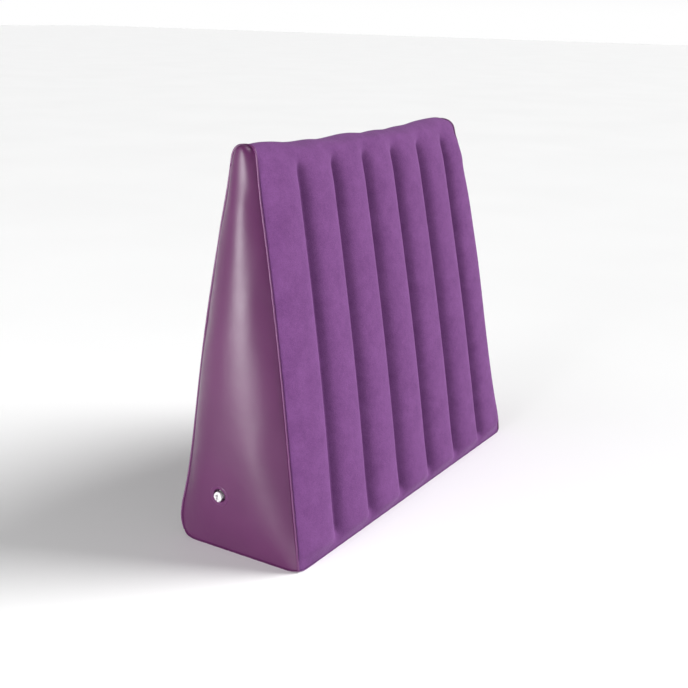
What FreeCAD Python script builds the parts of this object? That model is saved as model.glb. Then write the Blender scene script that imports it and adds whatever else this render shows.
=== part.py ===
import FreeCAD, Part

import math
import os

from FreeCAD import Vector

# Inflatable wedge cushion standing on its thick end. Millimetres, +Z up, +X across the width, the
# ribbed support face towards -Y. The origin is the middle of the base, on the surface it stands on.

# Driving dimensions of the inflated envelope, measured between weld lines.
BASE_WIDTH = 600.0
TOP_WIDTH = 530.0
HEIGHT = 520.0
BASE_DEPTH = 192.0
RIDGE_RADIUS = 20.0
RIDGE_SET_BACK = 8.0

# Sheet stock.
SHEET = 0.5
TIE_SHEET = 0.4
WELD_HEM = 2.5
HEM_THICK = 1.0

# Air channels of the two large faces, and the tie sheets between them.
CHANNELS = 7
RIB_CROWN = 10.0
FLAT_CROWN = 0.01
CROWN_RISE = 32.0
SEAM_START = 12.0
SEAM_STOP = 494.0
RIDGE_WRAP = 14.0
LINE_STATIONS = 9
ARC_STATIONS = 14

# Bulge of the two end panels.
SIDE_FULLNESS = 0.5
SIDE_LIFT = 150.0
LEAST_BULGE = 0.3
SIDE_LEVELS = 14
RIDGE_LAST_ANGLE = 84.0

# Mouth valve, on the left end panel.
VALVE_Y = 20.0
VALVE_Z = 80.0
FLANGE_RADIUS = 14.0
FLANGE_THICK = 1.2
FLANGE_PROUD = 0.4
WELL_RADIUS = 8.5
WELL_DEPTH = 10.0
WELL_WALL = 0.6
NECK_RADIUS = 5.5
BORE_RADIUS = 3.5
NECK_TOP = 2.0
NECK_FOOT = 14.0
RIM_RADIUS = 6.2
RIM_HEIGHT = 1.2
ROOT_RADIUS = 7.0
ROOT_THICK = 1.0
CAP_RADIUS = 6.3
CAP_THICK = 2.0
PLUG_RADIUS = 3.45
PLUG_TIP_RADIUS = 3.1
PLUG_LENGTH = 6.0
GRIP_LENGTH = 5.0
GRIP_WIDTH = 6.5
GRIP_THICK = 2.4
GRIP_SUNK = 0.5
EDGE_ROUND = 0.8
STRAP_WIDTH = 3.0
STRAP_THICK = 0.8
STRAP_REACH = 7.6
STRAP_TOP = 3.5
STRAP_FOOT = -1.8
NOTCH_ROOM = 0.2
FLAP_RADIUS = 4.6
FLAP_THICK = 0.4
FLAP_GAP = 0.1
HINGE_OFFSET = 4.7
BEYOND = 40.0

RIDGE_HEIGHT = HEIGHT - RIDGE_RADIUS
HALF_DEPTH = BASE_DEPTH / 2


def lean_of(run):
    """Lean, from the vertical, of a face whose foot is run away from below the ridge's centre."""
    reach = math.hypot(run, RIDGE_HEIGHT)
    return math.acos(RIDGE_RADIUS / reach) - math.atan2(RIDGE_HEIGHT, run)


FRONT_LEAN = lean_of(HALF_DEPTH + RIDGE_SET_BACK)
BACK_LEAN = lean_of(HALF_DEPTH - RIDGE_SET_BACK)


def half_width(z):
    """Half the distance between the end panels' weld lines at height z."""
    return (BASE_WIDTH + (TOP_WIDTH - BASE_WIDTH) * z / HEIGHT) / 2


def front_normal():
    return Vector(0, -math.cos(FRONT_LEAN), math.sin(FRONT_LEAN))


def back_normal():
    return Vector(0, math.cos(BACK_LEAN), math.sin(BACK_LEAN))


def ridge_point(normal):
    """The point of the ridge's round whose outward normal is given."""
    centre = Vector(0, RIDGE_SET_BACK, RIDGE_HEIGHT)
    return centre + normal * RIDGE_RADIUS


def depth_range(z, inset):
    """Front and back y of the envelope's outline at height z, moved inwards by inset."""
    limits = []
    for side, lean, normal in ((-1, FRONT_LEAN, front_normal()), (1, BACK_LEAN, back_normal())):
        tangent_z = RIDGE_HEIGHT + (RIDGE_RADIUS - inset) * normal.z
        if z <= tangent_z:
            foot = HALF_DEPTH - inset / math.cos(lean)
            limits.append(side * (foot - z * math.tan(lean)))
        else:
            rise = z - RIDGE_HEIGHT
            chord = math.sqrt(max((RIDGE_RADIUS - inset) ** 2 - rise**2, 0.0))
            limits.append(RIDGE_SET_BACK + side * chord)
    return limits


def crown_at(run, length):
    """Height of the ribs at a distance along a face, fading out towards both of its ends."""
    rise = 1 - math.exp(-((run / CROWN_RISE) ** 2))
    fall = 1 - math.exp(-(((length - run) / CROWN_RISE) ** 2))
    return RIB_CROWN * rise * fall


def face_stations(foot, top, normal):
    """Stations (point, outward normal, rib height) up a flat face, from its foot to its top."""
    length = (top - foot).Length
    stations = []
    for i in range(LINE_STATIONS + 1):
        # Closer together near both ends, where the ribs rise and fade.
        share = (1 - math.cos(math.pi * i / LINE_STATIONS)) / 2
        point = foot + (top - foot) * share
        stations.append((point, normal, crown_at(share * length, length)))
    return stations


def foot_of(face, normal):
    """Foot of the front (0) or back (1) sheet, whose inner edge stands on the base panel."""
    z = SHEET * (1 + normal.z)
    return Vector(0, depth_range(z, 0)[face], z)


def front_stations():
    """Up the front face, over the ridge, and a little way down the back."""
    foot = foot_of(0, front_normal())
    stations = face_stations(foot, ridge_point(front_normal()), front_normal())
    start = FRONT_LEAN - math.pi / 2
    sweep = math.pi - FRONT_LEAN - BACK_LEAN
    for i in range(1, ARC_STATIONS + 1):
        angle = start + sweep * i / ARC_STATIONS
        normal = Vector(0, math.sin(angle), math.cos(angle))
        stations.append((ridge_point(normal), normal, 0.0))
    stations.append((wrap_end(), back_normal(), 0.0))
    return stations


def wrap_end():
    """Where the front sheet, having come over the ridge, is lapped to the back sheet."""
    down = Vector(0, math.sin(BACK_LEAN), -math.cos(BACK_LEAN))
    return ridge_point(back_normal()) + down * RIDGE_WRAP


def back_stations():
    return face_stations(foot_of(1, back_normal()), wrap_end(), back_normal())


def rib_edge(a, b, crown):
    """Edge across one channel: an arc that stands out by crown, or a straight line without one."""
    if crown.Length < FLAT_CROWN:
        return Part.makeLine(a, b)
    return Part.Arc(a, (a + b) / 2 + crown, b).toShape()


def ribbed_section(point, normal, crown, thickness):
    """Closed cross-section of a ribbed sheet: one arc for each channel, outside and inside."""
    half = half_width(point.z)
    seams = [point + Vector(half * (2 * k / CHANNELS - 1), 0, 0) for k in range(CHANNELS + 1)]
    inner = [seam - normal * thickness for seam in seams]
    outer_edges = [rib_edge(a, b, normal * crown) for a, b in zip(seams, seams[1:])]
    inner_edges = [rib_edge(b, a, normal * crown) for a, b in zip(inner, inner[1:])]
    right_edge = Part.makeLine(seams[-1], inner[-1])
    left_edge = Part.makeLine(inner[0], seams[0])
    return Part.Wire(outer_edges + [right_edge] + inner_edges[::-1] + [left_edge])


def polygon_wire(points):
    return Part.makePolygon(points + points[:1])


def loft(wires):
    return Part.makeLoft(wires, True, True)


def ribbed_panel(stations):
    return loft([ribbed_section(point, normal, crown, SHEET) for point, normal, crown in stations])


def weld_hem(stations, side):
    """Narrow double-thickness edge that stands out along one end of a large face."""
    wires = []
    for point, normal, _ in stations:
        edge = point + Vector(side * half_width(point.z), 0, 0)
        out = Vector(side * WELD_HEM, 0, 0)
        low = edge - normal * SHEET
        high = edge + normal * (HEM_THICK - SHEET)
        wires.append(polygon_wire([low, low + out, high + out, high]))
    return loft(wires)


def base_panel():
    corner = Vector(-BASE_WIDTH / 2, -HALF_DEPTH, 0)
    return Part.makeBox(BASE_WIDTH, BASE_DEPTH, SHEET, corner)


def base_hem(along_x, side):
    """Weld hem round the base, lying on the surface that the cushion stands on."""
    if along_x:
        y = HALF_DEPTH if side > 0 else -HALF_DEPTH - WELD_HEM
        return Part.makeBox(BASE_WIDTH, WELD_HEM, SHEET, Vector(-BASE_WIDTH / 2, y, 0))
    x = BASE_WIDTH / 2 if side > 0 else -BASE_WIDTH / 2 - WELD_HEM
    return Part.makeBox(WELD_HEM, BASE_DEPTH, SHEET, Vector(x, -HALF_DEPTH, 0))


def side_bulge(z):
    """How far an end panel stands out, at mid depth, from the line between its welds."""
    front, back = depth_range(z, SHEET)
    rise = 1 - math.exp(-z / SIDE_LIFT)
    return max(SIDE_FULLNESS * (back - front) / 2 * rise, LEAST_BULGE)


def side_levels():
    """Heights of the end panel's cross-sections, from the base to just under the ridge."""
    inner_radius = RIDGE_RADIUS - SHEET
    levels = [SHEET + (RIDGE_HEIGHT - SHEET) * i / SIDE_LEVELS for i in range(SIDE_LEVELS)]
    for i in range(ARC_STATIONS + 1):
        # The last one stops just short of the round's very top, where the panel has no depth left.
        angle = math.radians(RIDGE_LAST_ANGLE) * i / ARC_STATIONS
        levels.append(RIDGE_HEIGHT + inner_radius * math.sin(angle))
    return sorted(levels + [VALVE_Z])


def side_shell(side, outer, inner):
    """Sheet that follows an end panel, from outer to inner, both measured inwards from its face."""
    wires = []
    for z in side_levels():
        front, back = depth_range(z, SHEET)
        middle = (front + back) / 2
        edge = half_width(z)
        crest = edge + side_bulge(z)

        rims = []
        for inset in (outer, inner):
            rim_x = side * (edge - inset)
            ends = Vector(rim_x, front, z), Vector(rim_x, back, z)
            rims.append(Part.Arc(ends[0], Vector(side * (crest - inset), middle, z), ends[1]))
        (a, b), (c, d) = [(rim.StartPoint, rim.EndPoint) for rim in rims]
        edges = [rims[0].toShape(), Part.makeLine(b, d), rims[1].toShape(), Part.makeLine(c, a)]
        wires.append(Part.Wire(edges))
    return loft(wires)


def valve_face_x():
    """x of the left end panel's face at the valve's axis."""
    front, back = depth_range(VALVE_Z, SHEET)
    chord = (back - front) / 2
    bulge = side_bulge(VALVE_Z)
    radius = (chord**2 + bulge**2) / (2 * bulge)
    off_centre = VALVE_Y - (front + back) / 2
    return -(half_width(VALVE_Z) + math.sqrt(radius**2 - off_centre**2) - (radius - bulge))


def along_valve(shape):
    """Moves a shape made about the origin, with +Z outwards and +X upwards, to the valve's seat."""
    turn = FreeCAD.Rotation(Vector(0, 0, 1), Vector(-1, 0, 0))
    shape.Placement = FreeCAD.Placement(Vector(valve_face_x(), VALVE_Y, VALVE_Z), turn)
    return shape


def disc(radius, low, high):
    return Part.makeCylinder(radius, high - low, Vector(0, 0, low))


def ring(outer, inner, low, high):
    return disc(outer, low, high).cut(disc(inner, low, high))


def valve_column(radius):
    """A long cylinder on the valve's axis, to cut or keep a round of the end panel."""
    return along_valve(disc(radius, -BEYOND, BEYOND))


def left_side_panel():
    return side_shell(-1, 0, SHEET).cut(valve_column(FLANGE_RADIUS))


def valve_flange():
    """Weld ring that fills the end panel's hole and follows its curve."""
    thick = side_shell(-1, -FLANGE_PROUD, FLANGE_THICK - FLANGE_PROUD)
    return thick.common(valve_column(FLANGE_RADIUS)).cut(valve_column(WELL_RADIUS))


def valve_diaphragm():
    """Thin cup between flange and neck, turned inwards so that the neck is sunk in the panel."""
    wall = ring(WELL_RADIUS, WELL_RADIUS - WELL_WALL, -WELL_DEPTH, FLANGE_PROUD)
    floor = ring(WELL_RADIUS, ROOT_RADIUS, -WELL_DEPTH, -WELL_DEPTH + WELL_WALL)
    return along_valve(wall.fuse(floor).removeSplitter())


def valve_neck():
    """Mouthpiece tube, with a rolled rim at its mouth and a root ring that the cup is joined to."""
    tube = disc(NECK_RADIUS, -NECK_FOOT, NECK_TOP)
    rim = disc(RIM_RADIUS, NECK_TOP - RIM_HEIGHT, NECK_TOP)
    root = disc(ROOT_RADIUS, -WELL_DEPTH, -WELL_DEPTH + ROOT_THICK)
    body = tube.fuse(rim).fuse(root)
    body = body.cut(disc(BORE_RADIUS, -NECK_FOOT, NECK_TOP))
    # A slot in the rim lets the strap lie against the tube.
    width = STRAP_WIDTH + 2 * NOTCH_ROOM
    start = Vector(-STRAP_REACH, -width / 2, STRAP_FOOT)
    notch = Part.makeBox(STRAP_REACH - NECK_RADIUS, width, STRAP_TOP - STRAP_FOOT, start)
    return along_valve(body.cut(notch).removeSplitter())


def valve_cap():
    """Stopper: a tapered plug, a disc that seats on the rim, and a flat grip."""
    tip = Vector(0, 0, NECK_TOP - PLUG_LENGTH)
    plug = Part.makeCone(PLUG_TIP_RADIUS, PLUG_RADIUS, PLUG_LENGTH, tip)
    top = NECK_TOP + CAP_THICK
    cover = disc(CAP_RADIUS, NECK_TOP, top)
    rounded = [edge for edge in cover.Edges if edge.BoundBox.ZMin > NECK_TOP + CAP_THICK / 2]
    cover = cover.makeFillet(EDGE_ROUND, rounded)
    corner = Vector(-GRIP_WIDTH / 2, -GRIP_THICK / 2, top - GRIP_SUNK)
    grip = Part.makeBox(GRIP_WIDTH, GRIP_THICK, GRIP_LENGTH, corner)
    upright = [edge for edge in grip.Edges if edge.BoundBox.ZLength > GRIP_LENGTH / 2]
    grip = grip.makeFillet(EDGE_ROUND, upright)
    return along_valve(plug.fuse(cover).fuse(grip).removeSplitter())


def cap_strap():
    """Tether from the cap's edge, bent back along the outside of the neck to its wall."""
    low = STRAP_TOP - STRAP_THICK
    inner = STRAP_THICK - STRAP_REACH
    outline = [
        Vector(-NECK_RADIUS, 0, STRAP_TOP),
        Vector(-STRAP_REACH, 0, STRAP_TOP),
        Vector(-STRAP_REACH, 0, STRAP_FOOT),
        Vector(-BORE_RADIUS, 0, STRAP_FOOT),
        Vector(-BORE_RADIUS, 0, STRAP_FOOT + STRAP_THICK),
        Vector(inner, 0, STRAP_FOOT + STRAP_THICK),
        Vector(inner, 0, low),
        Vector(-NECK_RADIUS, 0, low),
    ]
    strap = Part.Face(polygon_wire(outline)).extrude(Vector(0, STRAP_WIDTH, 0))
    strap.translate(Vector(0, -STRAP_WIDTH / 2, 0))
    # Its ends fit the round of the cap and the round of the tube.
    neck = disc(NECK_RADIUS, -NECK_FOOT, NECK_TOP)
    cap = disc(CAP_RADIUS, NECK_TOP, NECK_TOP + CAP_THICK)
    return along_valve(strap.cut(neck).cut(cap))


def check_flap():
    """Thin leaf over the neck's inner end, with a round living hinge at one side."""
    high = -NECK_FOOT - FLAP_GAP
    leaf = disc(FLAP_RADIUS, high - FLAP_THICK, high)
    start = Vector(HINGE_OFFSET, -FLAP_RADIUS / 2, high - FLAP_THICK / 2)
    roll = Part.makeCylinder(FLAP_THICK / 2, FLAP_RADIUS, start, Vector(0, 1, 0))
    return along_valve(leaf.fuse(roll).removeSplitter())


def tie_sheet(number):
    """Flat web that holds the two large faces together along one pair of seams."""
    share = 2 * number / CHANNELS - 1
    corners = []
    for z, index in ((SEAM_START, 0), (SEAM_STOP, 0), (SEAM_STOP, 1), (SEAM_START, 1)):
        y = depth_range(z, SHEET)[index]
        corners.append(Vector(share * half_width(z) - TIE_SHEET / 2, y, z))
    return Part.Face(polygon_wire(corners)).extrude(Vector(TIE_SHEET, 0, 0))


def all_parts():
    front = front_stations()
    back = back_stations()
    parts = {
        "front_panel": ribbed_panel(front),
        "back_panel": ribbed_panel(back),
        "base_panel": base_panel(),
        "side_panel_left": left_side_panel(),
        "side_panel_right": side_shell(1, 0, SHEET),
        "weld_hem_base_front": base_hem(True, -1),
        "weld_hem_base_back": base_hem(True, 1),
        "weld_hem_base_left": base_hem(False, -1),
        "weld_hem_base_right": base_hem(False, 1),
        "valve_flange": valve_flange(),
        "valve_diaphragm": valve_diaphragm(),
        "valve_neck": valve_neck(),
        "valve_cap": valve_cap(),
        "cap_strap": cap_strap(),
        "check_flap": check_flap(),
    }
    for name, side in (("left", -1), ("right", 1)):
        parts["weld_hem_front_" + name] = weld_hem(front, side)
        parts["weld_hem_back_" + name] = weld_hem(back, side)
    for number in range(1, CHANNELS):
        parts["tie_sheet_%d" % number] = tie_sheet(number)
    return parts


def facts(name, shape):
    return name, len(shape.Solids), shape.isValid(), shape.Volume


def main():
    os.makedirs("parts", exist_ok=True)
    for name, shape in sorted(all_parts().items()):
        print("%-22s solids %d valid %s volume %9.1f" % facts(name, shape))
        shape.exportStep("parts/%s.step" % name)
    print("valve axis at x %.3f, y %.1f, z %.1f" % (valve_face_x(), VALVE_Y, VALVE_Z))


main()
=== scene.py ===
import math

import bmesh
import bpy
import numpy as np
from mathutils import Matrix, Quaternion, Vector
from mathutils.bvhtree import BVHTree


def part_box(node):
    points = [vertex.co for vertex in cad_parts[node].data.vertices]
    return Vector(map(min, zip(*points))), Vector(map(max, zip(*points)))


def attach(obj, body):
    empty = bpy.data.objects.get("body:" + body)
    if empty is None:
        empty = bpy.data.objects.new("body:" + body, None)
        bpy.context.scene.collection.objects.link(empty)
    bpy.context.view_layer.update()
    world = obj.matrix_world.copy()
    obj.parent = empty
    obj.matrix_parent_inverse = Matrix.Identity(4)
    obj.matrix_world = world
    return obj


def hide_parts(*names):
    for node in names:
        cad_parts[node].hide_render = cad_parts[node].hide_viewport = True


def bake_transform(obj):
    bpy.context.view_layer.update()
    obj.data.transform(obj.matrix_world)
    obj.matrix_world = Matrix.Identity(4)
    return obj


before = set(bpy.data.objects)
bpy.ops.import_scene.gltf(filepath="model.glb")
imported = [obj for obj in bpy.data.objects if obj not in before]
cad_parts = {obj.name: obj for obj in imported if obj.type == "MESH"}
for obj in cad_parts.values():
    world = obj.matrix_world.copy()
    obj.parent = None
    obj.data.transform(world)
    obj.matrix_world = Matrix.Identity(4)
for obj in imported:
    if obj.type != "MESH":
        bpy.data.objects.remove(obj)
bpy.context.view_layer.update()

# ---------------------------------------------------------------------------------------------
# An inflatable wedge cushion that stands on its thick end, with its thin end, the ridge, on top.
# Driving dimensions, in metres. The cut sizes are those of the flat sheets before inflation: the
# air pulls the ribbed faces in across their width, most where the cushion is thinnest.

CHANNELS = 7
CUT_WIDTH = 0.622
BASE_WIDTH = 0.600
CUT_DEPTH = 0.208
BASE_DEPTH = 0.192
CUT_HEIGHT = 0.526
FRONT_CORNER_RADIUS = 0.008
BACK_CORNER_RADIUS = 0.016
FRONT_CORNER_LIFT = 0.002
BACK_CORNER_LIFT = 0.008
LEFT_CORNER_RADIUS = 0.010
RIGHT_CORNER_RADIUS = 0.015
RIDGE_NARROWING = 0.12
NARROW_START = 0.420
TIE_BOW = 0.006
DRAW_START = 0.300
RIGHT_DRAW = 0.022
SHOULDER_DRAW = 0.014
EAR_START = 0.400
EAR_OUT = 0.014
EAR_UP = 0.002
FRONT_END_BOW = 0.010
BACK_END_BOW = 0.022
RIDGE_RADIUS = 0.020
RIDGE_SET_BACK = 0.008
SEAM_START = 0.018
SEAM_STOP = 0.500

# How finely the sheets are divided: cells across a channel, rows up a face, steps over the ridge
# and cells across the depth. The front sheet ends WRAP_ROWS rows down the back.

CELLS = 8
FACE_ROWS = 46
RIDGE_STEPS = 8
DEPTH_CELLS = 18
WRAP_ROWS = 1

# The camera's place is in metres, and its turns are in degrees.

CAMERA_PLACE = (-1.3095, -0.7821, 0.6719)
CAMERA_YAW = 58.15
CAMERA_PITCH = 16.90
CAMERA_ROLL = 1.27
FOCAL_LENGTH_IN_FRAMES = 1091.3 / 688
SENSOR_WIDTH = 36.0


def unit(rows):
    return rows / np.linalg.norm(rows, axis=1, keepdims=True)


def read(items, name, width=1, kind=float):
    """One attribute of every item of a Blender collection, with a row for each item."""
    values = np.empty(len(items) * width, dtype=kind)
    items.foreach_get(name, values)
    return values.reshape(-1, width) if width > 1 else values


def link(name, mesh):
    thing = bpy.data.objects.new(name, mesh)
    bpy.context.scene.collection.objects.link(thing)
    return thing


def shade_smooth(thing):
    thing.data.polygons.foreach_set("use_smooth", [True] * len(thing.data.polygons))


def evaluated_mesh(thing):
    """The mesh that a helper object's modifiers give. The helper is removed."""
    graph = bpy.context.evaluated_depsgraph_get()
    mesh = bpy.data.meshes.new_from_object(thing.evaluated_get(graph))
    bpy.data.objects.remove(thing)
    return mesh


# ---------------------------------------------------------------------------------------------
# The cut sheets: front and back faces, base and both ends, joined along their welds.


def lean_of(run):
    """Lean, from upright, of a face whose foot is this run away from below the ridge's centre."""
    rise = CUT_HEIGHT - RIDGE_RADIUS
    return math.acos(RIDGE_RADIUS / math.hypot(run, rise)) - math.atan2(rise, run)


def outline_levels():
    """Pairs of outline points (y, z), front and back, from the base up, and the ridge's crest."""
    centre = np.array([RIDGE_SET_BACK, CUT_HEIGHT - RIDGE_RADIUS])
    front_lean = lean_of(CUT_DEPTH / 2 + RIDGE_SET_BACK)
    back_lean = lean_of(CUT_DEPTH / 2 - RIDGE_SET_BACK)

    def on_ridge(share):
        angle = front_lean - math.pi / 2 + (math.pi - front_lean - back_lean) * share
        return centre + RIDGE_RADIUS * np.array([math.sin(angle), math.cos(angle)])

    levels = []
    for i in range(FACE_ROWS + 1):
        share = i / FACE_ROWS
        front = np.array([-CUT_DEPTH / 2, 0]) * (1 - share) + on_ridge(0) * share
        back = np.array([CUT_DEPTH / 2, 0]) * (1 - share) + on_ridge(1) * share
        levels.append((front, back))
    for j in range(1, RIDGE_STEPS // 2):
        levels.append((on_ridge(j / RIDGE_STEPS), on_ridge(1 - j / RIDGE_STEPS)))
    return levels, on_ridge(0.5)


class Envelope:
    """The closed sheet mesh: points by name, and faces marked with the panel they belong to.

    Columns run across the width, levels go up the outline, and depth steps go from front to back.
    """

    def __init__(self):
        self.points = []
        self.index = {}
        self.faces = []
        self.panels = []
        self.columns = CHANNELS * CELLS
        self.levels, self.apex = outline_levels()
        self.make_points()
        self.make_faces()
        self.ties = self.tie_edges()

    def add(self, key, x, y, z):
        self.index[key] = len(self.points)
        self.points.append((x, y, z))

    def make_points(self):
        across = np.linspace(-CUT_WIDTH / 2, CUT_WIDTH / 2, self.columns + 1)
        for k, x in enumerate(across):
            for i, (front, back) in enumerate(self.levels):
                self.add(("front", i, k), x, *front)
                self.add(("back", i, k), x, *back)
            self.add(("ridge", k), x, *self.apex)
            for m in range(1, DEPTH_CELLS):
                self.add(("base", m, k), x, CUT_DEPTH * (m / DEPTH_CELLS - 0.5), 0)
        for k in (0, self.columns):
            for i, (front, back) in enumerate(self.levels[1:], 1):
                # The left end sheet is cut with a pocket near the ridge, which blows up as an ear.
                height = min(max((front[1] - EAR_START) / (SEAM_STOP - EAR_START), 0), 1)
                for m in range(1, DEPTH_CELLS):
                    share = m / DEPTH_CELLS
                    y, z = front + (back - front) * share
                    pocket = 4 * share * (1 - share) * height
                    out, up = (-EAR_OUT, EAR_UP) if k == 0 else (0, 0)
                    self.add(("end", i, m, k), across[k] + out * pocket, y, z + up * pocket)

    def point(self, i, m, k):
        """Name of the point at level i and depth step m, on column k."""
        if m == 0:
            return ("front", i, k)
        if m == DEPTH_CELLS:
            return ("back", i, k)
        return ("base", m, k) if i == 0 else ("end", i, m, k)

    def face(self, panel, *keys):
        self.faces.append([self.index[key] for key in keys])
        self.panels.append(panel)

    def cell(self, panel, side, i, a, b):
        """A face of the front or back side, above level i, from column a to column b."""
        self.face(panel, (side, i, a), (side, i, b), (side, i + 1, b), (side, i + 1, a))

    def make_faces(self):
        last = len(self.levels) - 1
        for k in range(self.columns):
            for i in range(last):
                self.cell("front", "front", i, k, k + 1)
                panel = "front" if i >= FACE_ROWS - WRAP_ROWS else "back"
                self.cell(panel, "back", i, k + 1, k)
            for side, a, b in (("front", k, k + 1), ("back", k + 1, k)):
                self.face("front", (side, last, a), (side, last, b), ("ridge", b), ("ridge", a))
            for m in range(DEPTH_CELLS):
                a, b = self.point(0, m, k), self.point(0, m + 1, k)
                c, d = self.point(0, m + 1, k + 1), self.point(0, m, k + 1)
                self.face("base", a, b, c, d)
        for panel, k in (("left", 0), ("right", self.columns)):
            turn = -1 if panel == "right" else 1
            for m in range(DEPTH_CELLS):
                for i in range(last):
                    corners = [
                        self.point(i, m, k),
                        self.point(i + 1, m, k),
                        self.point(i + 1, m + 1, k),
                        self.point(i, m + 1, k),
                    ]
                    self.face(panel, *corners[::turn])
                corners = [self.point(last, m, k), ("ridge", k), self.point(last, m + 1, k)]
                self.face(panel, *corners[::turn])

    def seam_rows(self):
        return [i for i in range(FACE_ROWS + 1) if SEAM_START <= self.levels[i][0][1] <= SEAM_STOP]

    def seam_columns(self):
        return [CELLS * n for n in range(1, CHANNELS)]

    def tie_edges(self):
        """Threads that stand for the tie sheets: level ones, and crossed ones that hold shear."""
        threads = []
        for k in self.seam_columns():
            rows = self.seam_rows()
            for i in rows:
                threads.append((self.index["front", i, k], self.index["back", i, k]))
            for i in rows[:-1]:
                threads.append((self.index["front", i, k], self.index["back", i + 1, k]))
                threads.append((self.index["front", i + 1, k], self.index["back", i, k]))
        return threads

    def base_points(self):
        columns = range(self.columns + 1)
        edge = [self.index[side, 0, k] for side in ("front", "back") for k in columns]
        inner = [n for key, n in self.index.items() if key[0] == "base"]
        return edge + inner


def round_corners(plan, half, radius):
    """Pulls points near the corners of a rectangle, given by its half size, in to an arc."""
    over = np.maximum(np.abs(plan) - (half - radius), 0)
    in_corner = (over > 0).all(axis=1)
    squeeze = np.ones(len(over))
    squeeze[in_corner] = over[in_corner].max(axis=1) / np.hypot(*over[in_corner].T)
    return plan - np.sign(plan) * over * (1 - squeeze[:, None])


def cut_shape(points):
    """The sheets as cut: faces bowed outwards, the ridge's corners rounded, its ends narrowed."""
    shaped = points.copy()
    near_end = np.clip(1 - (CUT_WIDTH / 2 - np.abs(points[:, 0])) / (CUT_WIDTH / CHANNELS), 0, 1)
    end_bow = np.where(points[:, 1] < 0, FRONT_END_BOW, BACK_END_BOW)
    bow = (TIE_BOW + (end_bow - TIE_BOW) * near_end) * np.sin(math.pi * points[:, 2] / CUT_HEIGHT)
    shaped[:, 1] *= 1 + bow / (CUT_DEPTH / 2 * (1 - points[:, 2] / CUT_HEIGHT) + RIDGE_RADIUS)
    half = np.array([CUT_WIDTH / 2, CUT_HEIGHT])
    welded = np.abs(points[:, 0]) <= CUT_WIDTH / 2
    for left, radius in ((True, LEFT_CORNER_RADIUS), (False, RIGHT_CORNER_RADIUS)):
        here = welded & ((points[:, 0] < 0) == left)
        shaped[np.ix_(here, [0, 2])] = round_corners(points[np.ix_(here, [0, 2])], half, radius)
    taper = np.clip((points[:, 2] - NARROW_START) / (CUT_HEIGHT - NARROW_START), 0, 1)
    narrow = RIDGE_NARROWING * near_end * taper
    shaped[:, 1] -= (shaped[:, 1] - RIDGE_SET_BACK) * narrow
    # The ridge's right corner is drawn in further than its left one.
    rise = np.clip((points[:, 2] - DRAW_START) / (CUT_HEIGHT - DRAW_START), 0, 1)
    draw = RIGHT_DRAW * rise**2 + SHOULDER_DRAW * rise**8
    shaped[:, 0] -= np.where(points[:, 0] > 0, draw * near_end, 0)
    return shaped


# ---------------------------------------------------------------------------------------------
# Blowing up: the cut sheets are held at the base and filled with air.

START_NARROWING = 0.08
PRESSURE = 8.0
INFLATE_FRAMES = 30


def rest_on_base(points):
    """Draws points in from the cut sizes to those of the blown base, and rounds its corners."""
    placed = points.copy()
    placed[:, 0] *= BASE_WIDTH / CUT_WIDTH * (1 - START_NARROWING * points[:, 2] / CUT_HEIGHT)
    placed[:, 1] *= BASE_DEPTH / CUT_DEPTH
    half = np.array([BASE_WIDTH, BASE_DEPTH]) / 2
    flat = placed[:, 2] == 0
    shift = np.zeros(len(points))
    for front, radius, lift in (
        (True, FRONT_CORNER_RADIUS, FRONT_CORNER_LIFT),
        (False, BACK_CORNER_RADIUS, BACK_CORNER_LIFT),
    ):
        here = flat & ((points[:, 1] < 0) == front)
        over = np.maximum(np.abs(placed[here, :2]) - (half - radius), 0)
        shift[here] = lift * over.prod(axis=1) / radius**2
        placed[here, :2] = round_corners(placed[here, :2], half, radius)
    placed[:, 2] += shift
    return placed


def inflate(envelope):
    """Blows the cut sheets up with Blender's cloth simulation. Returns the points' new places."""
    cut = cut_shape(np.array(envelope.points))
    start = rest_on_base(cut)
    mesh = bpy.data.meshes.new("cut_sheets")
    mesh.from_pydata(start.tolist(), envelope.ties, envelope.faces)
    thing = link("cut_sheets", mesh)
    thing.shape_key_add(name="start")
    lengths = thing.shape_key_add(name="cut")
    lengths.data.foreach_set("co", cut.ravel())
    base = envelope.base_points()
    held = thing.vertex_groups.new(name="held")
    held.add(base, 1.0, "REPLACE")
    blown = thing.vertex_groups.new(name="blown")
    blown.add(sorted(set(range(len(cut))) - set(base)), 1.0, "REPLACE")
    cloth = thing.modifiers.new("Cloth", "CLOTH")
    stuff = cloth.settings
    stuff.quality = 6
    stuff.mass = 0.2
    stuff.air_damping = 4
    stuff.tension_stiffness = 80
    stuff.compression_stiffness = 20
    stuff.shear_stiffness = 20
    stuff.bending_stiffness = 0.2
    stuff.tension_damping = 10
    stuff.compression_damping = 10
    stuff.shear_damping = 10
    stuff.bending_damping = 0.5
    stuff.vertex_group_mass = held.name
    stuff.rest_shape_key = lengths
    stuff.use_pressure = True
    stuff.uniform_pressure_force = PRESSURE
    stuff.vertex_group_pressure = blown.name
    stuff.effector_weights.gravity = 0
    cloth.collision_settings.use_collision = False
    cloth.point_cache.frame_start = 1
    cloth.point_cache.frame_end = INFLATE_FRAMES
    for step in range(1, INFLATE_FRAMES + 1):
        bpy.context.scene.frame_set(step)
    result = thing.evaluated_get(bpy.context.evaluated_depsgraph_get()).data
    places = read(result.vertices, "co", 3)
    bpy.data.objects.remove(thing)
    bpy.context.scene.frame_set(1)
    return places


# ---------------------------------------------------------------------------------------------
# Settling: the blown sheets lose their small wrinkles, and the ribs get their full section. A
# SHRINK pass of smoothing and a SWELL pass after it leave the size as it was. Rows count from the
# base, and a pair of rows is where an effect starts and where it ends or is complete.

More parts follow.
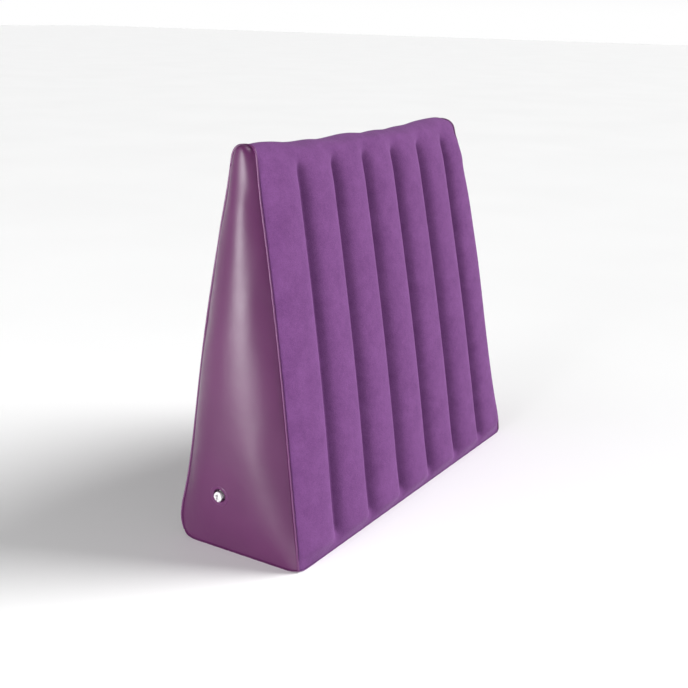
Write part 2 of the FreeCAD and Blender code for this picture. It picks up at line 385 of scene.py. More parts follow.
SHRINK = 0.50
SWELL = -0.52
FULL_CROWN = 0.0130
RIB_SQUARENESS = 2.8
WELD_ROWS = (3, 43)
WELD_EASE = 5
WELD_DEGREE = 4
RIDGE_ROWS = (44, 47)
RIDGE_PASSES = 6
FOOT_PASSES = 12
FOOT_ROWS = 2
TOP_ROWS = 4
SEAM_SINK = 0.0026
CALM_ROWS = 36
CALM_FADE = 6
CALM_PASSES = 40
END_PASSES = 24
TIP_ROWS = (41, 46)
TIP_PASSES = 5
TIP_SHARE = 0.4


def relax(values, share):
    """One pass of smoothing along the second axis, by the given share at each point."""
    middle = (values[:, :-2] + values[:, 2:]) / 2 - values[:, 1:-1]
    values[:, 1:-1] += share[None, 1:-1, None] * middle


def settle(envelope, places):
    """Calms the small wrinkles, and gives every rib the same squarish section and fullness."""
    places = places.copy()
    rows = np.arange(FACE_ROWS + 1)
    calm = np.clip((CALM_ROWS + CALM_FADE - rows) / CALM_FADE, 0, 1)
    fade = np.clip(rows / FOOT_ROWS, 0, 1) * np.clip((FACE_ROWS - rows) / TOP_ROWS, 0, 1)
    seam_rows = envelope.seam_rows()
    across = np.arange(CELLS + 1) / CELLS
    for side, out in (("front", -1), ("back", 1)):
        columns = range(envelope.columns + 1)
        index = np.array([[envelope.index[side, i, k] for i in rows] for k in columns])
        grid = places[index]
        for _ in range(CALM_PASSES):
            relax(grid, SHRINK * calm)
            relax(grid, SWELL * calm)
        straighten_welds(grid)
        for first in range(0, envelope.columns, CELLS):
            rib = grid[first : first + CELLS + 1, :, 1]
            chord = rib[0] + (rib[-1] - rib[0]) * across[:, None]
            crown = np.maximum(out * (rib - chord)[CELLS // 2], FULL_CROWN)
            section = (1 - np.abs(2 * across - 1) ** RIB_SQUARENESS)[:, None]
            rib += (chord + out * crown * section - rib) * fade
        for k in envelope.seam_columns():
            grid[k, seam_rows, 1] -= out * SEAM_SINK
        # Below the seams each face is one level roll.
        roll = grid[:, 1][None]
        for _ in range(FOOT_PASSES):
            relax(roll, np.full(len(grid), 0.5))
        grid[:, 1] = roll[0]
        places[index] = grid
    calm_ridge(envelope, places)
    calm_ends(envelope, places)
    return places


def calm_ridge(envelope, places):
    """Eases the dips that the seams leave in the ridge above them."""
    first, full = RIDGE_ROWS
    top = len(envelope.levels)
    columns = range(envelope.columns + 1)
    lines = [(top, [envelope.index["ridge", k] for k in columns])]
    for side in ("front", "back"):
        for row in range(first, top):
            lines.append((row, [envelope.index[side, row, k] for k in columns]))
    for row, line in lines:
        ease = min((row - first) / (full - first), 1)
        course = places[line][None]
        for _ in range(RIDGE_PASSES):
            relax(course, np.full(len(line), 0.5 * ease))
        places[line] = course[0]


def straighten_welds(grid):
    """Eases the end columns of a large face, and the ribs beside them, onto smooth curves."""
    rows = np.arange(WELD_ROWS[0], WELD_ROWS[1])
    ramp = np.minimum(rows - rows[0], rows[-1] - rows) / WELD_EASE
    ramp = np.clip(ramp, 0, 1)[:, None]
    for edge, step in ((0, 1), (-1, -1)):
        course = grid[edge, rows]
        curve = np.polyfit(rows - rows.mean(), course, WELD_DEGREE)
        powers = np.vander(rows - rows.mean(), WELD_DEGREE + 1)
        shift = (powers @ curve - course) * ramp
        for n in range(CELLS):
            grid[edge + step * n, rows] += shift * (1 - n / CELLS) ** 2


def calm_ends(envelope, places):
    """Smooths both end panels within their welds, and rounds them off next to the ridge."""
    for panel, k in (("left", 0), ("right", envelope.columns)):
        keys = [key for key in envelope.index if key[0] == "end" and key[3] == k]
        inner = np.array([envelope.index[key] for key in keys])
        links = set()
        for face, name in zip(envelope.faces, envelope.panels):
            if name == panel:
                links |= {tuple(sorted(pair)) for pair in zip(face, face[1:] + face[:1])}
        pairs = np.array(sorted(links))
        pairs = np.concatenate([pairs, pairs[:, ::-1]])
        count = np.bincount(pairs[:, 0], minlength=len(places))[inner, None]
        level = np.array([key[1] for key in keys])
        near_ridge = np.clip((level - TIP_ROWS[0]) / (TIP_ROWS[1] - TIP_ROWS[0]), 0, 1)[:, None]
        for share in [SHRINK, SWELL] * END_PASSES + [TIP_SHARE * near_ridge] * TIP_PASSES:
            total = np.zeros_like(places)
            np.add.at(total, pairs[:, 0], places[pairs[:, 1]])
            places[inner] += share * (total[inner] / count - places[inner])


# ---------------------------------------------------------------------------------------------
# The five panels: the envelope is made finer and taken apart at its welds.

PANELS = ["front", "back", "base", "left", "right"]
COVER_LEVELS = 2
SHEET_THICK = 0.0005


def smooth_envelope(envelope, places):
    """Subdivides the blown envelope, with its seams and welds kept sharp. Returns a mesh."""
    mesh = bpy.data.meshes.new("envelope")
    mesh.from_pydata(places.tolist(), [], envelope.faces)
    marks = mesh.attributes.new("panel", "INT", "FACE")
    marks.data.foreach_set("value", [PANELS.index(p) for p in envelope.panels])
    seams = set()
    rows = envelope.seam_rows()
    for k in envelope.seam_columns():
        for side in ("front", "back"):
            for a, b in zip(rows, rows[1:]):
                seams.add(frozenset((envelope.index[side, a, k], envelope.index[side, b, k])))
    edge_panels = {}
    for polygon in mesh.polygons:
        for edge in polygon.edge_keys:
            edge_panels.setdefault(frozenset(edge), set()).add(envelope.panels[polygon.index])
    crease = mesh.attributes.new("crease_edge", "FLOAT", "EDGE")
    for n, edge in enumerate(mesh.edges):
        key = frozenset(edge.vertices)
        if key in seams or len(edge_panels[key]) > 1:
            crease.data[n].value = 1.0
    thing = link("envelope", mesh)
    finer = thing.modifiers.new("finer", "SUBSURF")
    finer.levels = COVER_LEVELS
    finer.render_levels = COVER_LEVELS
    return evaluated_mesh(thing)


def seat_on_valve(mesh):
    """Eases the left panel, round the valve, to the plane where the CAD has it."""
    points = read(mesh.vertices, "co", 3)
    away = np.hypot(points[:, 1] - valve.y, points[:, 2] - valve.z)
    near = (points[:, 0] < 0) & (away < EASE_RADIUS)
    step = valve.x - points[near, 0][np.argmin(away[near])]
    ease = np.clip((EASE_RADIUS - away[near]) / (EASE_RADIUS - FLANGE_RADIUS), 0, 1)
    points[near, 0] += step * ease * ease * (3 - 2 * ease)
    mesh.vertices.foreach_set("co", points.ravel())


def cover_piece(panel, whole):
    """One panel of the envelope as a sheet of its own, with thickness."""
    bm = bmesh.new()
    bm.from_mesh(whole)
    layer = bm.faces.layers.int["panel"]
    wanted = PANELS.index(panel)
    bmesh.ops.delete(bm, geom=[f for f in bm.faces if f[layer] != wanted], context="FACES")
    if panel == "left":
        cut_valve_hole(bm)
    mesh = bpy.data.meshes.new("cover_" + panel)
    bm.to_mesh(mesh)
    bm.free()
    thing = link("cover_" + panel, mesh)
    thick = thing.modifiers.new("thick", "SOLIDIFY")
    thick.thickness = SHEET_THICK
    thick.offset = -1
    thing = link("cover_" + panel, evaluated_mesh(thing))
    shade_smooth(thing)
    return thing


def cut_valve_hole(bm):
    """Opens the panel behind the valve's weld ring, and rounds the hole's edge."""

    def off_axis(co):
        return Vector((0, co.y - valve.y, co.z - valve.z))

    inside = [f for f in bm.faces if off_axis(f.calc_center_median()).length < HOLE_RADIUS]
    bmesh.ops.delete(bm, geom=inside, context="FACES")
    for vert in bm.verts:
        arm = off_axis(vert.co)
        if vert.is_boundary and arm.length < FLANGE_RADIUS:
            vert.co += arm.normalized() * (HOLE_RADIUS - arm.length)


# ---------------------------------------------------------------------------------------------
# Welds: a rounded bead along each line where two sheets meet.

BEAD_OUT = 0.0015
BEAD_SIDE = 0.0012
BEAD_SHIFT = 0.0006
BEAD_POINTS = 8
FLAT_BEAD_OUT = 0.0011
FLAT_BEAD_SIDE = 0.0005
LAP_PROUD = 0.0004
WAVE_SIZE = 0.0001
LONG_WAVE = 270.0
SHORT_WAVE = 700.0


class Borders:
    """The lines along which two panels of the fine envelope meet."""

    def __init__(self, mesh):
        self.points = read(mesh.vertices, "co", 3)
        self.ends = read(mesh.edges, "vertices", 2, np.int32)
        panel = read(mesh.attributes["panel"].data, "value", kind=np.int32)
        normal = read(mesh.polygons, "normal", 3)
        size = read(mesh.polygons, "loop_total", kind=np.int32)
        owner = np.repeat(np.arange(len(size)), size)
        corner = read(mesh.loops, "vertex_index", kind=np.int32)
        edge = read(mesh.loops, "edge_index", kind=np.int32)
        # The envelope is closed, so every edge has just two sides.
        by_edge = panel[owner][np.argsort(edge, kind="stable")].reshape(-1, 2)
        self.sides = np.sort(by_edge, axis=1)
        self.normals = np.zeros((len(PANELS), len(self.points), 3))
        np.add.at(self.normals, (panel[owner], corner), normal[owner])

    def line(self, a, b):
        """Vertex numbers along the border of panels a and b, from its lower end."""
        pair = sorted((PANELS.index(a), PANELS.index(b)))
        links = {}
        for one, two in self.ends[(self.sides == pair).all(axis=1)]:
            links.setdefault(one, []).append(two)
            links.setdefault(two, []).append(one)
        tips = [v for v, others in links.items() if len(others) == 1]
        path = [min(tips, key=lambda v: tuple(self.points[v][[2, 1, 0]]))]
        while True:
            onward = [v for v in links[path[-1]] if v not in path[-2:]]
            if not onward:
                return path
            path.append(onward[0])

    def outward(self, path, panel):
        return unit(self.normals[PANELS.index(panel)][path])


def bead_piece(name, points, out, half_out, half_side):
    """A bead swept along points, standing out in the given directions, its ends closed."""
    along = unit(np.gradient(points, axis=0))
    out = unit(out - along * (out * along).sum(axis=1, keepdims=True))
    side = np.cross(along, out)
    run = np.concatenate([[0], np.cumsum(np.linalg.norm(np.diff(points, axis=0), axis=1))])
    wave = WAVE_SIZE * (np.sin(run * LONG_WAVE) + 0.5 * np.sin(run * SHORT_WAVE + 1))
    verts, faces = [], []
    for n, centre in enumerate(points):
        middle = centre + out[n] * BEAD_SHIFT + side[n] * wave[n]
        for j in range(BEAD_POINTS):
            turn = 2 * math.pi * j / BEAD_POINTS
            proud = out[n] * half_out * math.cos(turn)
            wide = side[n] * half_side * math.sin(turn)
            verts.append(middle + proud + wide)
    for n in range(len(points) - 1):
        for j in range(BEAD_POINTS):
            a, b = n * BEAD_POINTS + j, n * BEAD_POINTS + (j + 1) % BEAD_POINTS
            faces.append((a, b, b + BEAD_POINTS, a + BEAD_POINTS))
    faces.append(tuple(range(BEAD_POINTS))[::-1])
    last = len(verts) - BEAD_POINTS
    faces.append(tuple(range(last, len(verts))))
    mesh = bpy.data.meshes.new(name)
    mesh.from_pydata([tuple(v) for v in verts], [], faces)
    thing = link(name, mesh)
    shade_smooth(thing)
    return thing


def upright_weld(borders, face, end):
    """Bead between a large face and an end panel."""
    path = borders.line(face, end)
    out = borders.outward(path, face) + borders.outward(path, end)
    name = "weld_%s_%s" % (face, end)
    return bead_piece(name, borders.points[path], out, BEAD_OUT, BEAD_SIDE)


def base_weld(borders, panel):
    """Bead round the base, flat on the floor."""
    path = borders.line("base", panel)
    out = borders.outward(path, panel) * np.array([1, 1, 0])
    points = borders.points[path] + np.array([0, 0, FLAT_BEAD_SIDE])
    return bead_piece("weld_base_" + panel, points, out, FLAT_BEAD_OUT, FLAT_BEAD_SIDE)


def lap_weld(borders):
    """Low ridge across the back, where the front sheet ends over the back sheet."""
    path = borders.line("front", "back")
    out = borders.outward(path, "back")
    points = borders.points[path] - out * BEAD_SHIFT
    return bead_piece("weld_lap", points, out, LAP_PROUD, BEAD_OUT)


# ---------------------------------------------------------------------------------------------
# The tie sheets, along the blown seams.

TIE_THICK = 0.0004
TIE_SHORT = 0.0004


def tie_piece(number, envelope, places):
    """Flat web between one pair of seams, its edges just short of the covers."""
    k = CELLS * number
    verts, faces = [], []
    for i in envelope.seam_rows():
        front = places[envelope.index["front", i, k]]
        back = places[envelope.index["back", i, k]]
        inward = (back - front) / np.linalg.norm(back - front) * (TIE_SHORT + SHEET_THICK)
        for point in (front + inward, back - inward):
            for side in (-1, 1):
                verts.append(point + np.array([side * TIE_THICK / 2, 0, 0]))
    rows = len(verts) // 4
    for n in range(rows - 1):
        for a, b in ((0, 1), (1, 3), (3, 2), (2, 0)):
            low, high = 4 * n, 4 * n + 4
            faces.append((low + a, low + b, high + b, high + a))
    faces.append((0, 2, 3, 1))
    top = 4 * (rows - 1)
    faces.append((top, top + 1, top + 3, top + 2))
    name = "tie_web_%d" % number
    mesh = bpy.data.meshes.new(name)
    mesh.from_pydata([tuple(v) for v in verts], [], faces)
    return link(name, mesh)


# ---------------------------------------------------------------------------------------------
# The mouth valve. Profiles are (radius, height) about its axis, height outwards from the panel.

MM = 0.001
NECK_PROUD = 2.0 * MM
FLANGE_RADIUS = 14.0 * MM
HOLE_RADIUS = 11.0 * MM
EASE_RADIUS = 45.0 * MM
TURN_STEPS = 48
FLANGE_PROFILE = [
    (14.2, -0.3),
    (14.0, 0.2),
    (13.3, 0.45),
    (11.8, 0.5),
    (10.2, 0.35),
    (9.2, -0.15),
    (8.6, -0.9),
    (8.3, -1.8),
    (8.3, -2.2),
    (9.4, -1.3),
    (11.5, -0.6),
    (13.8, -0.6),
]
CUP_PROFILE = [
    (8.3, -1.4),
    (8.2, -4.0),
    (8.1, -8.4),
    (7.7, -9.3),
    (6.9, -9.6),
    (6.9, -10.0),
    (8.1, -9.9),
    (8.7, -8.7),
    (8.8, -4.0),
    (8.9, -1.4),
]
CAP_PROFILE = [
    (0.0, 4.3),
    (2.4, 4.3),
    (4.6, 4.1),
    (5.9, 3.5),
    (6.3, 2.8),
    (6.2, 2.15),
    (5.2, 2.02),
    (3.6, 2.02),
    (3.42, 1.4),
    (3.1, -3.4),
    (2.6, -3.9),
    (0.0, -4.0),
]
CAP_LOBES = 3
CAP_LOBE_SIZE = 0.05
CAP_LOBE_TURN = 0.6
CAP_HEAD_START = NECK_PROUD + 0.1 * MM
GRIP_HALF = (3.3, 1.35, 2.6)
GRIP_CENTRE = 5.6
GRIP_WAIST = 0.3
GRIP_ROUNDNESS = 0.65
GRIP_RINGS = 14
STRAP_PATH = [
    (5.6, 3.0),
    (6.8, 3.1),
    (7.2, 2.6),
    (7.3, 0.8),
    (7.2, -1.0),
    (6.7, -1.5),
    (5.4, -1.4),
]
STRAP_HALF_WIDTH = 1.5
STRAP_HALF_THICK = 0.38


def valve_point(up, across, out):
    """A place by the valve: up is +Z, across is +Y, out is away from the panel (-X)."""
    return Vector((valve.x - out, valve.y + across, valve.z + up))


def revolve(name, profile, place, closed=True):
    """A turned piece. place gives a point for an angle, a radius and a height."""
    verts, faces = [], []
    for step in range(TURN_STEPS):
        angle = 2 * math.pi * step / TURN_STEPS
        verts += [place(angle, radius * MM, height * MM) for radius, height in profile]
    size = len(profile)
    for step in range(TURN_STEPS):
        after = (step + 1) % TURN_STEPS
        for n in range(size if closed else size - 1):
            m = (n + 1) % size
            faces.append((step * size + n, step * size + m, after * size + m, after * size + n))
    mesh = bpy.data.meshes.new(name)
    mesh.from_pydata(verts, [], faces)
    bm = bmesh.new()
    bm.from_mesh(mesh)
    bmesh.ops.remove_doubles(bm, verts=bm.verts, dist=1e-6)
    bmesh.ops.recalc_face_normals(bm, faces=bm.faces)
    bm.to_mesh(mesh)
    bm.free()
    thing = link(name, mesh)
    shade_smooth(thing)
    return thing


def rounded(thing, levels=1):
    """Subdivides a piece, with the result kept as its mesh."""
    name = thing.name
    finer = thing.modifiers.new("finer", "SUBSURF")
    finer.levels = levels
    thing = link(name, evaluated_mesh(thing))
    shade_smooth(thing)
    return thing


def panel_surface(mesh):
    """A function that gives the left panel's x for a y and a z."""
    bm = bmesh.new()
    bm.from_mesh(mesh)
    tree = BVHTree.FromBMesh(bm)
    bm.free()

    def surface_x(y, z):
        hit = tree.ray_cast(Vector((2 * valve.x, y, z)), Vector((1, 0, 0)))[0]
        return hit.x

    return surface_x


def make_flange(surface_x):
    """Weld ring that follows the panel and rolls over into the cup."""

    def place(angle, radius, height):
        at = valve_point(radius * math.cos(angle), radius * math.sin(angle), 0)
        return (surface_x(at.y, at.z) - height, at.y, at.z)

    return rounded(revolve("valve_ring", FLANGE_PROFILE, place))


def make_cup():
    """Thin cup in which the neck slides, from the ring's throat to the neck's root."""

    def place(angle, radius, height):
        return valve_point(radius * math.cos(angle), radius * math.sin(angle), height)

    return rounded(revolve("valve_cup", CUP_PROFILE, place))


def make_cap():
    """Stopper with a softly lobed head, and a pinched grip moulded on it."""

    def place(angle, radius, height):
        lobe = CAP_LOBE_SIZE * math.cos(CAP_LOBES * angle + CAP_LOBE_TURN)
        reach = radius * (1 + lobe) if height > CAP_HEAD_START else radius
        return valve_point(reach * math.cos(angle), reach * math.sin(angle), height)

    head = rounded(revolve("stopper", CAP_PROFILE, place, closed=False))
    grip = revolve("grip", grip_profile(), grip_place, closed=False)
    join(head, grip)
    return head


def grip_profile():
    """Radius and height of a unit ball, to be shaped by grip_place."""
    turns = [math.pi * n / GRIP_RINGS for n in range(GRIP_RINGS + 1)]
    return [(math.sin(t) / MM, math.cos(t) / MM) for t in turns]


def grip_place(angle, radius, height):
    """Squares the unit ball off into a grip, and pinches its two flat sides."""

    def square(value):
        return math.copysign(abs(value) ** GRIP_ROUNDNESS, value)

    up = GRIP_HALF[0] * square(radius * math.cos(angle))
    across = GRIP_HALF[1] * square(radius * math.sin(angle))
    pinch = 1 - GRIP_WAIST * math.cos(math.pi / 2 * radius * math.cos(angle))
    out = GRIP_CENTRE + GRIP_HALF[2] * square(height)
    return valve_point(up * MM, across * pinch * MM, out * MM)


def join(thing, other):
    """Adds another piece's mesh to a piece, and removes the other."""
    bm = bmesh.new()
    bm.from_mesh(thing.data)
    bm.from_mesh(other.data)
    bm.to_mesh(thing.data)
    bm.free()
    bpy.data.objects.remove(other)
    shade_smooth(thing)


def make_strap():
    """Band from the cap's edge back along the underside of the neck."""
    verts, faces = [], []
    path = [Vector((r, h)) for r, h in STRAP_PATH]
    for n, point in enumerate(path):
        along = (path[min(n + 1, len(path) - 1)] - path[max(n - 1, 0)]).normalized()
        off = Vector((-along.y, along.x)) * STRAP_HALF_THICK
        for edge, face in ((-1, -1), (1, -1), (1, 1), (-1, 1)):
            spot = point + off * face
            verts.append(valve_point(-spot.x * MM, edge * STRAP_HALF_WIDTH * MM, spot.y * MM))
    for n in range(len(path) - 1):
        for j in range(4):
            a, b = 4 * n + j, 4 * n + (j + 1) % 4
            faces.append((a, b, b + 4, a + 4))
    last = 4 * (len(path) - 1)
    faces += [(3, 2, 1, 0), (last, last + 1, last + 2, last + 3)]
    mesh = bpy.data.meshes.new("strap")
    mesh.from_pydata(verts, [], faces)
    thing = link("strap", mesh)
    edges = mesh.attributes.new("crease_edge", "FLOAT", "EDGE")
    for n, edge in enumerate(mesh.edges):
        a, b = edge.vertices
        edges.data[n].value = 0.6 if abs(a - b) == 4 else 0.0
    return rounded(thing, 2)


# ---------------------------------------------------------------------------------------------
# Materials. A colour ramp is dark up to a noise of NOISE_LOW and light from NOISE_HIGH. The Mix
# node's colour sockets go by number, since other sockets of the node bear the same names.

FLOCK_DARK = (0.172, 0.061, 0.205)
FLOCK_LIGHT = (0.206, 0.076, 0.243)
VINYL_DARK = (0.076, 0.0090, 0.064)
VINYL_LIGHT = (0.088, 0.0115, 0.074)
# The weld beads are the panels' own vinyl, painted lighter: a painted highlight along every weld.
WELD_HIGHLIGHT_DARK = (0.110, 0.018, 0.100)
WELD_HIGHLIGHT_LIGHT = (0.124, 0.024, 0.114)
VALVE_DARK = (0.086, 0.012, 0.074)
VALVE_LIGHT = (0.098, 0.015, 0.086)
TIE_DARK = (0.30, 0.20, 0.32)
TIE_LIGHT = (0.34, 0.23, 0.36)
MILKY = (0.80, 0.78, 0.80)
FLOOR_DARK = (0.92, 0.92, 0.92)
FLOOR_LIGHT = (0.94, 0.94, 0.94)

VINYL_ROUGHNESS = 0.42
WELD_ROUGHNESS = 0.32
TIE_ROUGHNESS = 0.45
VALVE_ROUGHNESS = 0.30
VALVE_GRAIN = 0.5
MILKY_ROUGHNESS = 0.30
MILKY_THROUGH = 0.15
NOISE_LOW = 0.3
NOISE_HIGH = 0.7
MIX_FACTOR = 0
MIX_COLOURS = (6, 7)
MIX_RESULT = 2


class Shader:
    """A material under construction: adds nodes and links by short calls."""

    def __init__(self, name):
        self.material = bpy.data.materials.new(name)
        self.material.use_nodes = True
        self.tree = self.material.node_tree
        self.surface = self.tree.nodes["Principled BSDF"]
        self.coordinates = self.tree.nodes.new("ShaderNodeTexCoord").outputs["Object"]

    def set(self, **values):
        """Sets constant inputs of the surface, by name with spaces as underscores."""
        for key, value in values.items():
            self.surface.inputs[key.replace("_", " ")].default_value = value

    def noise(self, size, detail=2.0, roughness=0.5):
        """Noise whose features are about size metres across."""
        node = self.tree.nodes.new("ShaderNodeTexNoise")
        node.inputs["Scale"].default_value = 1.0 / size
        node.inputs["Detail"].default_value = detail
        node.inputs["Roughness"].default_value = roughness
        self.tree.links.new(self.coordinates, node.inputs["Vector"])
        return node.outputs["Fac"]

    def ramp(self, noise, dark, light):
        """Colour that goes from dark to light with the noise."""
        node = self.tree.nodes.new("ShaderNodeValToRGB")
        first, last = node.color_ramp.elements
        first.position, last.position = NOISE_LOW, NOISE_HIGH
        first.color, last.color = (*dark, 1), (*light, 1)
        self.tree.links.new(noise, node.inputs["Fac"])
        return node.outputs["Color"]

    def multiply(self, *colours):
        """The product of two colours."""
        node = self.tree.nodes.new("ShaderNodeMix")
        node.data_type = "RGBA"
        node.blend_type = "MULTIPLY"
        node.inputs[MIX_FACTOR].default_value = 1.0
        for number, colour in zip(MIX_COLOURS, colours):
            self.tree.links.new(colour, node.inputs[number])
        return node.outputs[MIX_RESULT]

    def feed(self, value, name):
        self.tree.links.new(value, self.surface.inputs[name])

    def bump(self, *layers):
        """Stacks bumps, each a (height, distance in metres) pair."""
        below = None
        for height, distance in layers:
            node = self.tree.nodes.new("ShaderNodeBump")
            node.inputs["Distance"].default_value = distance
            node.inputs["Strength"].default_value = 1.0
            self.tree.links.new(height, node.inputs["Height"])
            if below is not None:
                self.tree.links.new(below, node.inputs["Normal"])
            below = node.outputs["Normal"]
        self.feed(below, "Normal")


def flock_material():
    """Short-fibre flock: cloudy nap, brushed marks and a pale sheen where it is seen edge on."""
    shader = Shader("flock")
    nap = shader.ramp(shader.noise(0.030, 4, 0.6), FLOCK_DARK, FLOCK_LIGHT)
    brushed = shader.ramp(shader.noise(0.010, 4, 0.65), (0.88,) * 3, (1.0,) * 3)
    fibres = shader.ramp(shader.noise(0.0011, 1), (0.78,) * 3, (1.0,) * 3)
    colour = shader.multiply(shader.multiply(nap, brushed), fibres)
    shader.feed(colour, "Base Color")
    shader.set(Roughness=0.95, Specular_IOR_Level=0.08)
    shader.set(Sheen_Weight=0.14, Sheen_Roughness=0.35, Sheen_Tint=(0.80, 0.55, 0.86, 1))
    shader.bump((shader.noise(0.0011, 2, 0.7), 0.0003), (shader.noise(0.006, 3), 0.0003))
    return shader.material


def vinyl_material(name, dark, light, roughness, bump=1.0):
    """Calendered PVC sheet: even colour, a satin surface and the finest of grains."""
    shader = Shader(name)
    shader.feed(shader.ramp(shader.noise(0.09, 2), dark, light), "Base Color")
    smoothest, roughest = (roughness - 0.03,) * 3, (roughness + 0.04,) * 3
    shader.feed(shader.ramp(shader.noise(0.02, 3), smoothest, roughest), "Roughness")
    shader.set(Specular_IOR_Level=0.4, Coat_Weight=0.35, Coat_Roughness=0.38)
    grain = shader.noise(0.0009, 2)
    shader.bump((grain, 0.00004 * bump), (shader.noise(0.018, 2), 0.0004 * bump))
    return shader.material


def clear_material(name, colour, roughness, through):
    """Soft clear or milky PVC of the valve's mouldings."""
    shader = Shader(name)
    darker = [c * 0.93 for c in colour]
    shader.feed(shader.ramp(shader.noise(0.004, 2), darker, colour), "Base Color")
    shader.set(Roughness=roughness, Transmission_Weight=through, IOR=1.5, Coat_Weight=0.3)
    shader.set(Subsurface_Weight=0.3 * (1 - through), Subsurface_Radius=(0.002, 0.002, 0.002))
    shader.bump((shader.noise(0.0025, 2), 0.0002))
    return shader.material


def floor_material():
    """Pale matt studio floor."""
    shader = Shader("floor")
    shader.feed(shader.ramp(shader.noise(0.6, 2), FLOOR_DARK, FLOOR_LIGHT), "Base Color")
    shader.set(Roughness=0.75)
    shader.bump((shader.noise(0.002, 2), 0.00005))
    return shader.material


# ---------------------------------------------------------------------------------------------
# The camera, the lights and the floor.

FLOOR_HALF = 30.0
SKY_STRENGTH = 0.20
HORIZON_STRENGTH = 1.0
HORIZON_BAND = 0.15
KEY_TOWARD = (0.62, -0.60, 0.54)
KEY_STRENGTH = 4.3
KEY_ANGLE = 36.0
FILL_TOWARD = (-0.75, 0.35, 0.55)
FILL_STRENGTH = 0.6
FILL_ANGLE = 60.0
STREAK_PLACE = (-2.4, 0.15, 0.36)
STREAK_AIM = (-0.3, 0, 0.3)
STREAK_SIZE = (1.4, 0.6)
STREAK_POWER = 50
STREAK_ROLL = 36.0


def make_camera():
    """The camera stands where the photograph was taken from, level but for a slight roll."""
    data = bpy.data.cameras.new("camera")
    data.sensor_width = SENSOR_WIDTH
    data.lens = SENSOR_WIDTH * FOCAL_LENGTH_IN_FRAMES
    camera = link("camera", data)
    yaw, pitch = math.radians(CAMERA_YAW), math.radians(CAMERA_PITCH)
    reach = math.cos(pitch)
    forward = Vector((math.sin(yaw) * reach, math.cos(yaw) * reach, -math.sin(pitch)))
    level = forward.to_track_quat("-Z", "Y")
    camera.location = CAMERA_PLACE
    camera.rotation_mode = "QUATERNION"
    camera.rotation_quaternion = level @ Quaternion((0, 0, 1), math.radians(CAMERA_ROLL))
    bpy.context.scene.camera = camera


def area_light(name, place, aim, size, power, roll):
    """A lit rectangle, rolled about the line to what it is aimed at."""
    data = bpy.data.lights.new(name, "AREA")
    data.shape = "RECTANGLE"
    data.size, data.size_y = size
    data.energy = power
    lamp = link(name, data)
    lamp.location = place
    lamp.rotation_mode = "QUATERNION"
    aimed = (Vector(aim) - Vector(place)).to_track_quat("-Z", "Y")
    lamp.rotation_quaternion = aimed @ Quaternion((0, 0, 1), math.radians(roll))


def make_world():
    """Studio surround: dim overhead, and near white in a band about the horizon."""
    world = bpy.data.worlds.new("world")
    bpy.context.scene.world = world
    world.use_nodes = True
    nodes, links = world.node_tree.nodes, world.node_tree.links
    direction = nodes.new("ShaderNodeTexCoord").outputs["Generated"]
    split = nodes.new("ShaderNodeSeparateXYZ")
    band = nodes.new("ShaderNodeMapRange")
    band.interpolation_type = "SMOOTHSTEP"
    band.inputs["From Max"].default_value = HORIZON_BAND
    band.inputs["To Min"].default_value = HORIZON_STRENGTH
    band.inputs["To Max"].default_value = SKY_STRENGTH
    links.new(direction, split.inputs[0])
    links.new(split.outputs["Z"], band.inputs["Value"])
    links.new(band.outputs["Result"], nodes["Background"].inputs["Strength"])
    nodes["Background"].inputs["Color"].default_value = (1, 1, 1, 1)


def sun_light(name, toward, strength, angle):
    """A distant light that stands toward the given direction."""
    data = bpy.data.lights.new(name, "SUN")
    data.energy = strength
    data.angle = math.radians(angle)
    lamp = link(name, data)
    lamp.rotation_mode = "QUATERNION"
    lamp.rotation_quaternion = Vector(toward).to_track_quat("Z", "Y")


def make_floor():
    half = FLOOR_HALF
    mesh = bpy.data.meshes.new("floor")
    corners = [(-half, -half, 0), (half, -half, 0), (half, half, 0), (-half, half, 0)]
    mesh.from_pydata(corners, [], [(0, 1, 2, 3)])
    floor = link("floor", mesh)
    floor.data.materials.append(floor_material())


# ---------------------------------------------------------------------------------------------
# The whole cushion.


def dress(piece, material, slot):
    piece.data.materials.clear()
    piece.data.materials.append(material)


def dress_node(name, material):
    """Gives a CAD node that stays in the picture its finished material."""
    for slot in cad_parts[name].material_slots:
        slot.material = material


neck_low, neck_high = (Vector(corner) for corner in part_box("valve_neck"))
valve = (neck_low + neck_high) / 2
valve.x = neck_low.x + NECK_PROUD

flock = flock_material()
vinyl = vinyl_material("vinyl", VINYL_DARK, VINYL_LIGHT, VINYL_ROUGHNESS)
# Lighter copy of the panel vinyl for the weld beads: painted highlight.
weld_vinyl = vinyl_material("weld_vinyl", WELD_HIGHLIGHT_DARK, WELD_HIGHLIGHT_LIGHT, WELD_ROUGHNESS)
tie_vinyl = vinyl_material("tie_vinyl", TIE_DARK, TIE_LIGHT, TIE_ROUGHNESS)
valve_vinyl = vinyl_material("valve_vinyl", VALVE_DARK, VALVE_LIGHT, VALVE_ROUGHNESS, VALVE_GRAIN)
milky = clear_material("milky_vinyl", MILKY, MILKY_ROUGHNESS, MILKY_THROUGH)

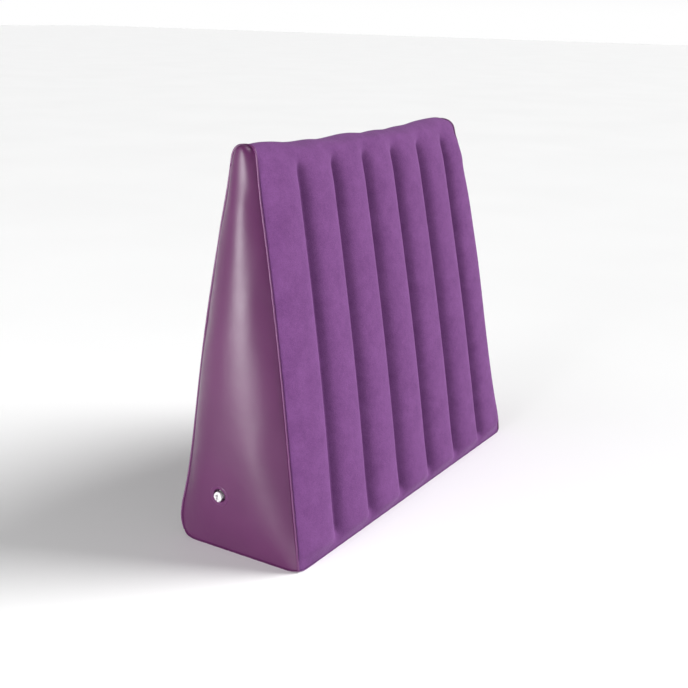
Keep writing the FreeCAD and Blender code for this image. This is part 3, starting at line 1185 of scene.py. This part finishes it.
envelope = Envelope()
places = settle(envelope, inflate(envelope))
whole = smooth_envelope(envelope, places)
seat_on_valve(whole)
borders = Borders(whole)
COVERS = {
    "front": ("front_panel", flock, "flocked_vinyl"),
    "back": ("back_panel", vinyl, "smooth_vinyl"),
    "base": ("base_panel", vinyl, "smooth_vinyl"),
    "left": ("side_panel_left", vinyl, "smooth_vinyl"),
    "right": ("side_panel_right", vinyl, "smooth_vinyl"),
}
for panel, (node, material, slot) in COVERS.items():
    piece = cover_piece(panel, whole)
    dress(piece, material, slot)
    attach(piece, "cushion")
    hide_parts(node)

for end in ("left", "right"):
    for face in ("front", "back"):
        piece = upright_weld(borders, face, end)
        dress(piece, weld_vinyl, "smooth_vinyl")
        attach(piece, "cushion")
        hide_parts("weld_hem_%s_%s" % (face, end))
for panel in ("front", "back", "left", "right"):
    piece = base_weld(borders, panel)
    if panel == "front":
        dress(piece, flock, "flocked_vinyl")
    else:
        dress(piece, weld_vinyl, "smooth_vinyl")
    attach(piece, "cushion")
    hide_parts("weld_hem_base_" + panel)
piece = lap_weld(borders)
dress(piece, weld_vinyl, "smooth_vinyl")
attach(piece, "cushion")

for number in range(1, CHANNELS):
    piece = tie_piece(number, envelope, places)
    dress(piece, tie_vinyl, "tie_vinyl")
    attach(piece, "cushion")
    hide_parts("tie_sheet_%d" % number)

ring = make_flange(panel_surface(whole))
dress(ring, valve_vinyl, "valve_vinyl")
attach(ring, "cushion")
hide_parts("valve_flange")

cup = make_cup()
dress(cup, valve_vinyl, "valve_vinyl")
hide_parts("valve_diaphragm")
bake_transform(cup)

stopper = make_cap()
dress(stopper, milky, "clear_vinyl")
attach(stopper, "cap")
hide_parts("valve_cap")

strap = make_strap()
dress(strap, milky, "clear_vinyl")
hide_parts("cap_strap")
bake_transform(strap)

dress_node("valve_neck", milky)
dress_node("check_flap", milky)

make_floor()
make_world()
make_camera()
sun_light("key", KEY_TOWARD, KEY_STRENGTH, KEY_ANGLE)
area_light("streak", STREAK_PLACE, STREAK_AIM, STREAK_SIZE, STREAK_POWER, STREAK_ROLL)
sun_light("fill", FILL_TOWARD, FILL_STRENGTH, FILL_ANGLE)
bpy.context.scene.view_settings.view_transform = "Standard"
